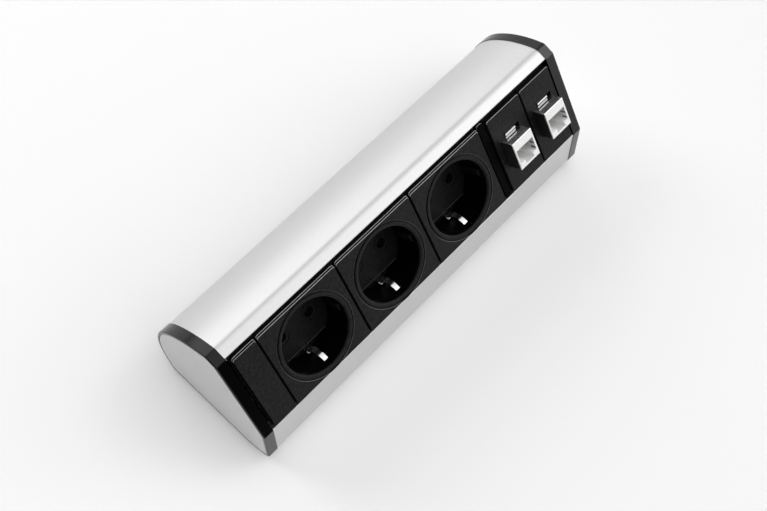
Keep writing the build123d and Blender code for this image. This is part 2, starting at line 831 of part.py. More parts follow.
def terminal_screws():
    """One clamp screw for each pole, its tip on the bar."""
    x = terminal_span()[0] + terminal_grip / 2
    screws = []
    for place, bar_low, _ in terminal_levels():
        tail = bar_low - clamp_screw_length
        screw = disc(clamp_screw_radius, x, place, (tail, bar_low))
        screw += disc(clamp_screw_head, x, place, (tail, tail + clamp_screw_head_height))
        screw -= block((x - clamp_screw_head, x + clamp_screw_head),
                       (place - screw_slot_width / 2, place + screw_slot_width / 2),
                       (tail, tail + screw_slot_depth))
        screws.append(screw)
    return Compound(children=screws)


def jack_box(grow, n):
    """The space of a jack, about its own centre, grown by a gap."""
    return block((-jack_width / 2 - grow, jack_width / 2 + grow),
                 (jack_centre - jack_height / 2 - grow, jack_centre + jack_height / 2 + grow), n)


def data_holder(width, shift):
    """Data module front: plate, frame round the jack and slot for its latch."""
    holder = Pos(shift, 0, 0) * module_plate(width, stepped=False)
    span = (-holder_depth, -skin)
    frame = jack_box(holder_wall, span) + latch_space(holder_wall, span)
    holder += frame & block((shift - width / 2, shift + width / 2), (skin / 2, plate_height - skin / 2), span)
    holder -= jack_box(seat_gap, (-holder_depth, 0))
    return holder - latch_space(0, (-holder_depth, 0))


def latch_space(grow, n):
    """The slot over a jack that its latch bends into."""
    start = -latch_width / 2 - loose_gap
    low = jack_centre + jack_height / 2
    return block((start - grow, start + latch_slot_width + grow),
                 (low - grow, low + latch_slot_height + grow), n)


def port_cut(n):
    """The opening of a data port, with the notch for the plug's latch below it."""
    top = jack_centre + jack_height / 2 - port_top
    low = top - port_height
    notch = block((-notch_width / 2, notch_width / 2), (low - notch_height, low), n)
    return notch + block((-port_width / 2, port_width / 2), (low, top), n)


def jack_shell():
    """Metal shield of a data jack, open at the back and at the port."""
    shell = jack_box(0, (jack_back, jack_proud))
    shell = chamfer(shell.faces().sort_by(Axis.Z)[-1].edges(), jack_wall / 2)
    shell -= jack_box(-jack_wall, (jack_back, jack_proud - jack_flange))
    return shell - port_cut((0, jack_proud))


def jack_body():
    """Insulating insert of a jack, with the port's cavity."""
    front = jack_proud - jack_flange - seat_gap
    body = jack_box(-jack_wall - seat_gap, (jack_back, front))
    return body - port_cut((jack_proud - port_depth, front))


def jack_contacts():
    """Eight sprung contact wires, slanting down into the port from its upper wall."""
    top = jack_centre + jack_height / 2 - port_top
    length = hypot(contact_run, contact_rise)
    slope = degrees(atan2(contact_rise, contact_run))
    wires = []
    for k in range(contact_count):
        x = (k - (contact_count - 1) / 2) * contact_pitch
        wire = Pos(0, 0, -length / 2) * Cylinder(contact_wire, length)
        place = Pos(x, top - 2 * contact_wire, jack_proud - contact_setback)
        wires.append(place * Rot(-slope, 0, 0) * wire)
    return Compound(children=wires)


def jack_latch():
    """Sprung latch over the jack, through the slot of the holder."""
    low = jack_centre + jack_height / 2 + seat_gap
    x = (-latch_width / 2, latch_width / 2)
    hook = block(x, (low, low + latch_slot_height - loose_gap), (latch_proud - latch_thickness, latch_proud))
    return hook + block(x, (low, low + latch_thickness), (-latch_length, latch_proud))


def jack_rear():
    """Wire cap at the back of a jack, with the way in for its cable."""
    front = jack_back - seat_gap
    body = jack_box(-cap_inset, (front - cap_length, front))
    body = chamfer(body.faces().sort_by(Axis.Z)[0].edges(), rear_chamfer)
    return body - disc(data_cable_radius, 0, jack_centre, (front - cap_length, front - rear_floor))


def write_ends():
    """Profile, caps, end plates and what is in the cable end."""
    save("aluminium_profile", aluminium_profile())
    save("end_cap_left", end_cap(False))
    save("end_cap_right", mirror(end_cap(True), about=Plane.YZ))
    save("end_plate_left", end_plate(False))
    save("end_plate_right", mirror(end_plate(True), about=Plane.YZ))
    save("end_cap_screws", cap_screws())
    save("cord_grommet", mirror(cord_grommet(), about=Plane.YZ))
    save("data_grommet", mirror(data_grommet(), about=Plane.YZ))
    save("cord_clamp", mirror(cord_clamp(), about=Plane.YZ))
    save("cord_clamp_screws", mirror(cord_clamp_screws(), about=Plane.YZ))


def write_sockets():
    """The pieces that each socket has, and what joins them."""
    makers = {"socket_front": socket_front(), "socket_base": socket_base(), "shutter": shutter(),
              "shutter_spring": shutter_spring(), "earth_clip": earth_clip(), "live_contact": pin_contact(1),
              "neutral_contact": pin_contact(-1)}
    for name, shape in makers.items():
        for k, centre in enumerate(socket_centres):
            save_face(f"{name}_{k + 1}", Pos(centre, 0, 0) * shape)
    save_face("socket_screws", base_screws())
    save_face("live_bar", pin_bar(1))
    save_face("neutral_bar", pin_bar(-1))
    save_face("earth_bar", earth_bar())
    save_face("earth_rivets", earth_rivets())
    save_face("terminal_block", terminal_block())
    save_face("terminal_screws", terminal_screws())


def write_fillers():
    """The blank module and the divider strip."""
    blank_middle = Pos(blank_start + blank_width / 2, 0, 0)
    divider_middle = Pos(divider_start + divider_width / 2, 0, 0)
    save_face("blank_module", blank_middle * module_plate(blank_width - joint_gap))
    save_face("divider_strip", divider_middle * module_plate(divider_width - joint_gap))


def write_data():
    """The two data modules; the last plate is cut short where it meets the cap."""
    widths = [data_width, end_data_width]
    makers = {"jack_shell": jack_shell(), "jack_body": jack_body(), "jack_contacts": jack_contacts(),
              "jack_latch": jack_latch(), "jack_rear": jack_rear()}
    for k, centre in enumerate(data_centres):
        place = Pos(centre + jack_offset, 0, 0)
        shift = (widths[k] - data_width) / 2 - jack_offset
        save_face(f"data_holder_{k + 1}", place * data_holder(widths[k] - joint_gap, shift))
        for name, shape in makers.items():
            save_face(f"{name}_{k + 1}", place * shape)


write_ends()
write_sockets()
write_fillers()
write_data()
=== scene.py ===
"""Looks of the desk socket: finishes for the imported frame, and its modules, earth clips, shutter springs and
data jacks as numpy surfaces, with a studio and the photo's camera.

Shapes are worked out in millimetres and become metres in on_face. Module pieces use the face frame of the
CAD: X along the profile, S up the slope from the lower edge of the plates, and N out of the face.
"""
import json
import math

import bpy
import numpy as np
from mathutils import Matrix


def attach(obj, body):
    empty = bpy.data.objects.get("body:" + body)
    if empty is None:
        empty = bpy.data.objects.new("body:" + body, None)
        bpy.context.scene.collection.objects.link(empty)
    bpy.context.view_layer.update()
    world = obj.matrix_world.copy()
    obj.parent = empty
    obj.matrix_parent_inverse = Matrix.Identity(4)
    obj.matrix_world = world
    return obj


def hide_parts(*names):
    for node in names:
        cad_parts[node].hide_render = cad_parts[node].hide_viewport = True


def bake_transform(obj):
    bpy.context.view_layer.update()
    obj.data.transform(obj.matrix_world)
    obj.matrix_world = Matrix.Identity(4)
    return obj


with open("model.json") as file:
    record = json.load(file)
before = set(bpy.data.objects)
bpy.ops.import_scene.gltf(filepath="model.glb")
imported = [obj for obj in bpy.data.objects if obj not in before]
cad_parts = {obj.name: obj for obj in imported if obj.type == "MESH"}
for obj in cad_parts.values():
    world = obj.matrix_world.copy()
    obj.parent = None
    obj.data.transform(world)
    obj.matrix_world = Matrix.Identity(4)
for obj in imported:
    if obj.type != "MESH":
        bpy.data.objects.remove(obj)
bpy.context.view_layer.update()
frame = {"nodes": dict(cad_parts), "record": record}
nodes = frame["nodes"]

# Places from the CAD, in millimetres
millimetre = 0.001
face_angle = math.radians(50.0)
face_y, face_z = -33.91, 32.9
socket_places = (-71.3, -19.3, 32.7)
well_centre = 22.6
jack_middle = 21.8

# Middle of the jack, middle of the plate and half of its width, for each data module
data_places = ((76.35, 77.25, 12.4), (102.25, 102.15, 11.4))

# Plates, each with a step strip at its top edge and a flange behind it
socket_half = 25.4
socket_low = -0.15
plate_top, plate_back = 46.0, -0.9
plate_corner, least_corner = 1.0, 0.3
plate_round, step_round = 0.28, 0.22
step_low, step_high = -0.1, plate_top + 0.95
step_drop, step_inset = 0.6, 0.02
edge_line = 45.0
flange_low, flange_high = -2.0, 51.0
flange_face, flange_back = -3.1, -4.7
flange_reach, flange_corner = 0.45, 0.6

# Materials


def finish(name, color, metallic=0.0, roughness=0.5, specular=0.5):
    """A principled material with its constants on the shader's own sockets."""
    material = bpy.data.materials.new(name)
    material.use_nodes = True
    shader = material.node_tree.nodes["Principled BSDF"]
    shader.inputs["Base Color"].default_value = (*color, 1.0)
    shader.inputs["Metallic"].default_value = metallic
    shader.inputs["Roughness"].default_value = roughness
    shader.inputs["Specular IOR Level"].default_value = specular
    return material, material.node_tree.nodes, material.node_tree.links, shader


def object_noise(tree_nodes, links, scale, stretch=(1, 1, 1), detail=3.0, roughness=0.5):
    """Noise on Object coordinates, drawn out along an axis by a Mapping node."""
    place = tree_nodes.new("ShaderNodeTexCoord")
    mapping = tree_nodes.new("ShaderNodeMapping")
    mapping.inputs["Scale"].default_value = stretch
    noise = tree_nodes.new("ShaderNodeTexNoise")
    noise.inputs["Scale"].default_value = scale
    noise.inputs["Detail"].default_value = detail
    noise.inputs["Roughness"].default_value = roughness
    links.new(place.outputs["Object"], mapping.inputs["Vector"])
    links.new(mapping.outputs["Vector"], noise.inputs["Vector"])
    return noise.outputs["Fac"]


def spread(tree_nodes, links, value, low, high):
    """The usual range of a noise mapped to between two values."""
    ranged = tree_nodes.new("ShaderNodeMapRange")
    ranged.inputs["From Min"].default_value = 0.25
    ranged.inputs["From Max"].default_value = 0.75
    ranged.inputs["To Min"].default_value = low
    ranged.inputs["To Max"].default_value = high
    links.new(value, ranged.inputs["Value"])
    return ranged.outputs["Result"]


def tint(tree_nodes, links, value, dark, light):
    """The middle range of a noise turned into a colour between two."""
    ramp = tree_nodes.new("ShaderNodeValToRGB")
    ramp.color_ramp.elements[0].position = 0.3
    ramp.color_ramp.elements[1].position = 0.7
    ramp.color_ramp.elements[0].color = (*dark, 1.0)
    ramp.color_ramp.elements[1].color = (*light, 1.0)
    links.new(value, ramp.inputs["Fac"])
    return ramp.outputs["Color"]


def relief(tree_nodes, links, value, shader, strength, distance):
    """Bump from a height value."""
    bump = tree_nodes.new("ShaderNodeBump")
    bump.inputs["Strength"].default_value = strength
    bump.inputs["Distance"].default_value = distance
    links.new(value, bump.inputs["Height"])
    links.new(bump.outputs["Normal"], shader.inputs["Normal"])


def satin_aluminium():
    """Anodised extrusion: fine grain with faint draw lines along X."""
    material, n, k, shader = finish("satin_aluminium", (0.62, 0.62, 0.62), metallic=1.0)
    grain = object_noise(n, k, scale=2600, stretch=(0.25, 1, 1), detail=2.0)
    k.new(tint(n, k, grain, (0.60, 0.60, 0.602), (0.645, 0.645, 0.645)), shader.inputs["Base Color"])
    k.new(spread(n, k, grain, 0.40, 0.48), shader.inputs["Roughness"])
    relief(n, k, grain, shader, strength=0.15, distance=0.00002)
    return material


def moulded(name, dark, light, rough, texture_scale, strength, specular=0.5, depth=0.00008):
    """Moulded plastic: a fine texture in its height, colour and gloss."""
    material, n, k, shader = finish(name, dark, specular=specular)
    texture = object_noise(n, k, texture_scale, detail=4.0, roughness=0.6)
    k.new(tint(n, k, texture, dark, light), shader.inputs["Base Color"])
    k.new(spread(n, k, texture, *rough), shader.inputs["Roughness"])
    relief(n, k, texture, shader, strength, depth)
    return material


def plated(name, dark, light, rough, grain_scale, stretch=(1, 1, 1)):
    """Metal with a faint rolled grain."""
    material, n, k, shader = finish(name, light, metallic=1.0)
    grain = object_noise(n, k, grain_scale, stretch, detail=2.0)
    k.new(tint(n, k, grain, dark, light), shader.inputs["Base Color"])
    k.new(spread(n, k, grain, *rough), shader.inputs["Roughness"])
    relief(n, k, grain, shader, strength=0.05, distance=0.00001)
    return material


def grey(value):
    """A neutral colour."""
    return (value, value, value)


# A moulded finish has its dark and light colour, range of roughness, scale and strength of the texture, and
# may have a specular level and a depth. A plated one has the colours, range, scale and perhaps a stretch.
# Painted sheen: a white matte finish for the bright light that the metal fronts of the jacks and the ends of
# their latches catch
jack_sheen_paint = moulded("sheen_paint_front", grey(0.86), grey(0.95), (0.35, 0.5), 1200, 0.3)
# Painted shade: a darker, less glossy copy of the module plastic for the walls of the wells and the insides of
# the ring grooves
shade_wall_paint = moulded("shade_wall_paint", grey(0.0003), grey(0.001), (0.3, 0.4), 1500, 0.2, 0.12)
well_seat = moulded("well_floor", grey(0.002), grey(0.012), (0.4, 0.55), 900, 1.0, 0.15)
# Painted highlight: a lighter copy of the module plastic for the rounded top edges of the plates
edge_highlight_paint = moulded("edge_highlight_paint", grey(0.22), grey(0.4), (0.3, 0.4), 900, 0.2, 0.6)
# Painted highlight: a lighter copy of the module plastic for the rim of each ring groove and the edges of the
# earth recesses
rim_highlight_paint = moulded("rim_highlight_paint", grey(0.05), grey(0.1), (0.3, 0.4), 900, 0.2, 0.6)
finishes = {
    "anodised_aluminium": satin_aluminium(),
    "cap_black": moulded("cap_black", grey(0.0005), grey(0.001), (0.10, 0.16), 1500, 0.03, 0.30),
    "plate_grey": moulded("plate_grey", (0.60, 0.60, 0.60), (0.64, 0.64, 0.64), (0.3, 0.4), 1800, 0.1),
    "module_black": moulded("module_black", grey(0.0005), grey(0.012), (0.32, 0.58), 750, 1.0, 0.16, 0.0003),
    # Painted shade: the divider's plastic is darker and almost without gloss, as if shaded between the modules
    "divider_black": moulded("divider_black", grey(0.0005), grey(0.003), (0.3, 0.45), 900, 0.8, 0.02),
    "base_black": moulded("base_black", grey(0.01), grey(0.016), (0.5, 0.6), 1500, 0.2, 0.3),
    "shutter_black": moulded("shutter_black", grey(0.004), grey(0.008), (0.4, 0.5), 1500, 0.2, 0.3),
    "terminal_grey": moulded("terminal_grey", (0.28, 0.29, 0.30), (0.34, 0.35, 0.36), (0.45, 0.6), 1500, 0.2),
    "spring_strip": plated("spring_strip", grey(0.82), grey(0.94), (0.14, 0.24), 900, (1, 4, 4)),
    "brass": plated("brass", (0.60, 0.44, 0.18), (0.72, 0.54, 0.25), (0.25, 0.38), 900),
    "steel": plated("zinc_steel", (0.50, 0.50, 0.51), (0.62, 0.62, 0.63), (0.25, 0.4), 1200),
    "jack_metal": plated("tinned_sheet", grey(0.80), grey(0.88), (0.18, 0.26), 700, (1, 3, 3)),
    "jack_black": moulded("jack_black", grey(0.006), grey(0.012), (0.4, 0.5), 1500, 0.2, 0.3),
    "gold_wire": plated("gold_wire", (0.72, 0.62, 0.42), (0.84, 0.74, 0.52), (0.2, 0.3), 1500),
    "bush_black": moulded("bush_rubber", grey(0.012), grey(0.02), (0.6, 0.75), 1800, 0.4),
}
slot_of = {part["node"]: part["material_slot"] for part in frame["record"]["subparts"]}
for name, node in nodes.items():
    node.data.materials.clear()
    node.data.materials.append(finishes[slot_of[name]])

# The finishes of a module piece and of a jack piece, by their numbers in the mesh, with painted highlight,
# painted shade and painted sheen among them
module_look = (finishes["module_black"], edge_highlight_paint, shade_wall_paint, well_seat, rim_highlight_paint)
body_face, highlight_edge, shaded_wall, seat_face, highlight_rim = range(5)
# The jack's second finish is painted sheen
jack_look = (finishes["jack_metal"], jack_sheen_paint, finishes["jack_black"])
# The third is the black of the jack's body, and also painted shade in its slots and in the latch's slit
sheet_metal, sheen_paint, black_and_shade = range(3)

# Surfaces


def on_face(points):
    """Metres in the row frame: Y = S cos a - N sin a and Z = S sin a + N cos a, from the face's origin."""
    x, s, n = np.moveaxis(np.asarray(points, float), -1, 0)
    y = s * math.cos(face_angle) - n * math.sin(face_angle) + face_y
    z = s * math.sin(face_angle) + n * math.cos(face_angle) + face_z
    return np.stack([x, y, z], axis=-1) * millimetre


def shell(loops, hoop=False, pick=None):
    """Closed surface over a stack of loops: point (i, j) joins (i, j + 1), (i + 1, j + 1) and (i + 1, j).

    The first and last loops are each closed by a flat face, or joined to each other for a hoop. The faces are
    turned outwards by the sign of the volume. The rule in pick gives the number of the finish of each face,
    from its row and its centre.
    """
    grid = np.stack(loops)
    rows, count = grid.shape[:2]
    i, j = np.mgrid[0:rows if hoop else rows - 1, 0:count]
    up, on = (i + 1) % rows, (j + 1) % count
    quads = np.stack([i * count + j, i * count + on, up * count + on, up * count + j], axis=-1).reshape(-1, 4)
    points = grid.reshape(-1, 3)
    ends = [] if hoop else [np.arange(count)[::-1], np.arange(count) + (rows - 1) * count]
    fans = [np.stack([np.full(count - 2, end[0]), end[1:-1], end[2:]], axis=-1) for end in ends]
    triangles = points[np.concatenate([quads[:, :3], quads[:, [0, 2, 3]], *fans])]
    volume = (triangles[:, 0] * np.cross(triangles[:, 1], triangles[:, 2])).sum()
    if volume < 0:
        quads, ends = quads[:, ::-1], [end[::-1] for end in ends]
    picked = pick(i.ravel(), points[quads].mean(axis=1)) if pick else np.zeros(len(quads))
    index = np.concatenate([picked, np.zeros(len(ends))]).astype(int)
    return points, quads, ends, index


def piece(name, shells, slots, replaced, bevel=0.0, crease=32.0, across=None):
    """One object from closed shells, smooth between creases, that stands for CAD nodes.

    It rides on the housing, or, when across is given, keeps its place with its transform baked in; the bodies
    and places in across are not used.
    """
    points, faces, index, shift = [], [], [], 0
    for shell_points, quads, ends, shell_index in shells:
        points.append(on_face(shell_points))
        faces += (quads + shift).tolist() + [(end + shift).tolist() for end in ends]
        index.append(shell_index)
        shift += len(shell_points)
    mesh = bpy.data.meshes.new(name)
    mesh.from_pydata(np.concatenate(points), [], faces)
    for material in slots[1]:
        mesh.materials.append(material)
    mesh.polygons.foreach_set("material_index", np.concatenate(index).astype(np.int32))
    mesh.polygons.foreach_set("use_smooth", np.ones(len(faces), bool))
    mesh.update()
    mesh.set_sharp_from_angle(angle=math.radians(crease))
    made = bpy.data.objects.new(name, mesh)
    bpy.context.scene.collection.objects.link(made)
    if bevel:
        rounding = made.modifiers.new("rounded_edges", "BEVEL")
        rounding.width = bevel * millimetre
        rounding.segments = 2
        rounding.limit_method = "ANGLE"
        rounding.harden_normals = True
    if across:
        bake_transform(made)
    else:
        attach(made, "housing")
    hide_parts(*replaced)
    return made


def level(outline, n):
    """An outline of (x, s) points as a loop at one height."""
    return np.column_stack([outline, np.broadcast_to(n, len(outline))])


def rectangle(x, s, corner, bend=7):
    """Rounded rectangle: four quarter circles of one radius, joined by straight runs."""
    angle = np.linspace(0, math.pi / 2, bend)
    turns = np.arange(4) * math.pi / 2 - math.pi / 2
    centre_x = np.array([x[1] - corner, x[1] - corner, x[0] + corner, x[0] + corner])
    centre_s = np.array([s[0] + corner, s[1] - corner, s[1] - corner, s[0] + corner])
    around = turns[:, None] + angle[None, :]
    return np.column_stack([(centre_x[:, None] + corner * np.cos(around)).ravel(),
                            (centre_s[:, None] + corner * np.sin(around)).ravel()])


def bearings(centre, *outlines, count=192):
    """The angles at which all outlines have their corners, as seen from a centre, and an even set between."""
    seen = [np.arctan2(o[:, 1] - centre[1], o[:, 0] - centre[0]) for o in outlines]
    even = np.linspace(-math.pi, math.pi, count, endpoint=False)
    return np.unique(np.round(np.concatenate([even, *seen]), 5))


def circle(centre, radius, angles):
    """Points at a distance from a centre."""
    return np.column_stack([centre[0] + radius * np.cos(angles), centre[1] + radius * np.sin(angles)])


def cast(outline, centre, angles):
    """Where the ray at each angle from a centre meets a closed outline that is star-shaped about it."""
    start = outline - centre
    run = np.roll(start, -1, axis=0) - start
    ray = np.column_stack([np.cos(angles), np.sin(angles)])[:, None, :]
    cross = ray[..., 0] * run[:, 1] - ray[..., 1] * run[:, 0]
    safe = np.where(np.abs(cross) < 1e-12, 1e-12, cross)
    reach = (start[:, 0] * run[:, 1] - start[:, 1] * run[:, 0]) / safe
    along = (start[:, 0] * ray[..., 1] - start[:, 1] * ray[..., 0]) / safe
    hit = (reach > 0) & (along > -1e-6) & (along < 1 + 1e-6) & (np.abs(cross) > 1e-9)
    distance = np.where(hit, reach, np.inf).min(axis=1)
    return centre + distance[:, None] * ray[:, 0, :]


edge_steps = 4
edge_loops = edge_steps + 2
edge_land = 0.05


def rounded(outline_at, low, top, radius):
    """Loops up a side and over its rounded edge: inset r (1 - cos a), height top - r (1 - sin a)."""
    turn = np.linspace(0, math.pi / 2, edge_steps)
    loops = [level(outline_at(0.0), low)]
    for a in turn:
        loops.append(level(outline_at(radius * (1 - math.cos(a))), top - radius * (1 - math.sin(a))))
    loops.append(level(outline_at(radius + edge_land), top))
    return loops


def among(row, first, last):
    """Whether a row of faces is one of a run of rows."""
    return (row >= first) & (row <= last)


def top_edge_highlight(row, centre):
    """Painted highlight on the rounded edge at the top of a plate, in the loops that rounded gives."""
    return among(row, 1, edge_steps - 1) & (centre[:, 1] > edge_line)


# Modules


def plate_loops(middle, half, s, top, radius, centre, angles, low=plate_back):
    """Side and rounded edge of a module plate, seen from the centre of its opening."""
    def outline_at(inset):
        edge = rectangle((middle - half + inset, middle + half - inset), (s[0] + inset, s[1] - inset),
                         max(plate_corner - inset, least_corner))
        return cast(edge, centre, angles)
    return rounded(outline_at, low, top, radius)


def opened_flange(middle, half, centre, angles, hole):
    """The flange behind a plate: its outer outline at two heights and its hole's outline at the same two."""
    outline = rectangle((middle - half, middle + half), (flange_low, flange_high), flange_corner)
    edge = cast(outline, centre, angles)
    return shell([level(edge, flange_back), level(edge, flange_face),
                  level(hole, flange_face), level(hole, flange_back)], hoop=True)


# Radii and heights of a well from its ring groove inwards, and of a pin hole from its wall outwards
floor_n, well_back = -17.5, -21.5
ring_groove = ((22.95, 0.0), (22.85, 0.0), (22.68, -0.14), (22.65, -0.9), (21.85, -0.9), (21.82, -0.1))
well_mouth = ((21.7, 0.02), (21.2, 0.08), (20.5, 0.05), (20.15, -0.06), (19.85, -0.25), (19.62, -0.55))
well_side = ((19.5, -1.0), (19.45, -4.0), (19.35, floor_n), (19.3, well_back), (21.0, well_back),
             (21.0, plate_back))
pin_profile = ((2.7, well_back), (2.7, -17.75), (2.78, -17.57), (2.95, floor_n), (3.1, floor_n),
               (4.2, floor_n), (4.27, -17.8), (4.63, -17.8), (4.7, floor_n), (4.75, floor_n))
step_bore, flange_bore = 20.9, 21.3
groove_row = edge_loops + 1
side_row = edge_loops + len(ring_groove) + len(well_mouth)
pin_offset, well_radius = 9.5, 19.5
recess_chord, recess_line = 14.2, 13.7
rim_drop, plain_drop = 0.4, 0.002
rim_start, rim_slope = 1.4, 0.3
recess_floor_n, recess_radius, recess_start, recess_points = -20.5, 19.45, 14.1, 48
rib_inner, rib_outer, rib_half = 18.5, 19.9, 2.0
rib_foot, rib_top, rib_corner, rib_round = -17.7, -4.0, 0.35, 0.3


def well_rule(row, centre):
    """Painted highlight on the upper edge of the plate and on the rim of the ring groove, and painted shade in
    the groove and on the wall of the well.
    """
    # Painted shade in the ring groove and on the well's wall
    dark = among(row, groove_row + 1, groove_row + 3) | among(row, side_row, side_row + 3)
    edge = np.where(top_edge_highlight(row, centre), highlight_edge, body_face)
    return np.where(dark, shaded_wall, np.where(row == groove_row, highlight_rim, edge))


def floor_rule(row, centre):
    """The floor of a well, with a painted highlight along the edges of the recesses."""
    chord = np.abs(centre[:, 1] - well_centre) > recess_line
    # Painted highlight on the rim rows along the chords of the recesses
    rim = among(row, len(pin_profile), len(pin_profile) + 2)
    return np.where(rim & chord, highlight_rim, seat_face)


def well_plate(x):
    """Plate, ring groove, mouth and wall of a well: its radii and heights turned about its axis."""
    centre = np.array([x, well_centre])
    span = (socket_low, plate_top)
    outer = rectangle((x - socket_half, x + socket_half), span, plate_corner)
    angles = bearings(centre, outer)
    loops = plate_loops(x, socket_half, span, 0.0, plate_round, centre, angles)
    loops += [level(circle(centre, radius, angles), n) for radius, n in ring_groove + well_mouth + well_side]
    tier = shell(loops, hoop=True, pick=well_rule)
    hole = circle(centre, step_bore, angles)
    step = plate_loops(x, socket_half - step_inset, (step_low, step_high), -step_drop, step_round,
                       centre, angles, flange_face)
    step += [level(hole, -step_drop), level(hole, flange_face)]
    flange = opened_flange(x, socket_half + flange_reach, centre, angles, circle(centre, flange_bore, angles))
    # The step's top edge gets the painted highlight as well
    return [tier, shell(step, hoop=True, pick=top_edge_highlight), flange]


def well_floor(x, side):
    """Half of the well's floor round one pin hole: the pin profile's rings, then out to the half's edge.

    The edge is the nearest of the middle plane, the chord of the earth recess and the well's wall. It drops
    by a small rim where the recess begins.
    """
    corner_x = math.sqrt(well_radius ** 2 - recess_chord ** 2)
    corners = np.array([[0, recess_chord], [0, -recess_chord],
                        [corner_x, recess_chord], [corner_x, -recess_chord]])
    angles = bearings(np.array([pin_offset, 0.0]), corners, count=96)
    c, s = np.cos(angles), np.sin(angles)
    to_middle = np.where(c < -1e-9, -pin_offset / np.minimum(c, -1e-9), np.inf)
    to_chord = recess_chord / np.maximum(np.abs(s), 1e-9)
    to_wall = -pin_offset * c + np.sqrt(well_radius ** 2 - (pin_offset * s) ** 2)
    edge = np.minimum(np.minimum(to_middle, to_chord), to_wall)
    drop = np.where(to_chord <= edge + 1e-6, rim_drop, plain_drop)
    rings = [(np.full_like(edge, radius), np.full_like(edge, n)) for radius, n in pin_profile]
    flat, behind = np.full_like(edge, floor_n), np.full_like(edge, well_back)
    rings += [(edge - drop * rim_start, flat), (edge - drop, flat),
              (edge - drop * rim_slope, flat - drop * rim_slope), (edge, flat - drop), (edge, behind)]
    loops = [np.column_stack([x + side * (pin_offset + radius * c), well_centre + radius * s, n])
             for radius, n in rings]
    return shell(loops, hoop=True, pick=floor_rule)


def earth_recess(x, side):
    """Floor of an earth recess: the segment of the well beyond its chord."""
    start = math.asin(recess_start / recess_radius)
    angles = np.linspace(start, math.pi - start, recess_points)
    outline = np.column_stack([x + recess_radius * np.cos(angles),
                               well_centre + side * recess_radius * np.sin(angles)])
    return shell([level(outline, well_back), level(outline, recess_floor_n)])


def guide_rib(x, side):
    """Rib on the wall of a well, with a rounded top end."""
    def outline_at(inset):
        ends = sorted((x + side * (rib_inner + inset), x + side * rib_outer))
        return rectangle(ends, (well_centre - rib_half + inset, well_centre + rib_half - inset), rib_corner)
    return shell(rounded(outline_at, rib_foot, rib_top, rib_round))


def socket_module(number, x):
    """A socket front: plate with its well, the floor round both pin holes, recesses and ribs."""
    shells = well_plate(x)
    for side in (-1, 1):
        shells += [well_floor(x, side), earth_recess(x, side), guide_rib(x, side)]
    piece(f"socket_module_{number}", shells, ("module_black", module_look), (f"socket_front_{number}",))


filler_round, filler_inset = 0.2, 0.05

# Middle, half width, span and height of the plate, and the top of its step strip
blank_place = (-104.925, 7.05, (-0.05, plate_top), 0.0, step_high)
divider_place = (61.5, 2.1, (-0.3, 46.6), -1.4, 47.0)


def filler(name, node, middle, half, s, top, step_top, face="module_black"):
    """A plain module: plate, step and flange slabs."""
    centre = np.array([middle, well_centre])
    outer = rectangle((middle - half, middle + half), s, plate_corner)
    angles = bearings(centre, outer, count=48)
    # The top edges of the plate and of its step get the painted highlight
    plate = shell(plate_loops(middle, half, s, top, filler_round, centre, angles), pick=top_edge_highlight)
    step = shell(plate_loops(middle, half - filler_inset, (s[0] + filler_inset, step_top), top - step_drop,
                             step_round, centre, angles, flange_face), pick=top_edge_highlight)
    sides = (middle - half - flange_reach, middle + half + flange_reach)
    flange_edge = cast(rectangle(sides, (flange_low, flange_high), flange_corner), centre, angles)
    flange = shell([level(flange_edge, flange_back), level(flange_edge, flange_face)])
    piece(name, [plate, step, flange], ("module_black", (finishes[face], edge_highlight_paint)), (node,))


# Earth clips

strip_points = 60
strip_flat = 0.97


def strip(path, widths, thickness, x):
    """A bent strip: a Catmull-Rom line through (s, n) points, with its own width at each.

    The line is thickened along its normal, and the section is a flat bar with its four corners cut off.
    """
    path = np.asarray(path, float)
    t = np.linspace(0, len(path) - 1, strip_points)
    whole = np.minimum(t.astype(int), len(path) - 2)
    f = (t - whole)[:, None]
    before, after = path[np.maximum(whole - 1, 0)], path[np.minimum(whole + 2, len(path) - 1)]
    p1, p2 = path[whole], path[whole + 1]
    line = 0.5 * (2 * p1 + (p2 - before) * f + (2 * before - 5 * p1 + 4 * p2 - after) * f ** 2
                  + (3 * p1 - before - 3 * p2 + after) * f ** 3)
    width = np.interp(t, np.arange(len(path)), widths)[:, None]
    tangent = np.gradient(line, axis=0)
    tangent /= np.linalg.norm(tangent, axis=1, keepdims=True)
    normal = np.column_stack([-tangent[:, 1], tangent[:, 0]])
    edge = np.array([-1, -strip_flat, strip_flat, 1, 1, strip_flat, -strip_flat, -1])
    side = np.array([0.3, 0.5, 0.5, 0.3, -0.3, -0.5, -0.5, -0.3]) * thickness
    along_x = x + width / 2 * edge[None, :]
    s = line[:, :1] + normal[:, :1] * side[None, :]
    n = line[:, 1:] + normal[:, 1:] * side[None, :]
    return shell(list(np.stack([along_x, s, n], axis=-1)))


clip_thickness, shoulder_thickness = 0.8, 0.5
clip_arm = ((17.6, -38.0), (17.6, -30.0), (17.6, -23.0), (17.5, -19.0), (16.7, -15.8), (15.9, -13.2),
            (15.8, -11.0), (16.4, -8.9), (17.4, -7.2), (18.4, -5.8), (19.1, -5.2))
clip_widths = (4.4, 4.4, 4.4, 4.4, 4.0, 3.6, 3.2, 2.9, 2.8, 2.7, 2.6)
clip_shoulder = ((16.7, -19.0), (17.2, -17.6), (18.0, -16.6), (18.6, -16.2))
shoulder_widths = (4.6, 4.6, 4.5, 4.4)
bridge_half, bridge_n, bridge_width = 17.9, -43.5, 4.4


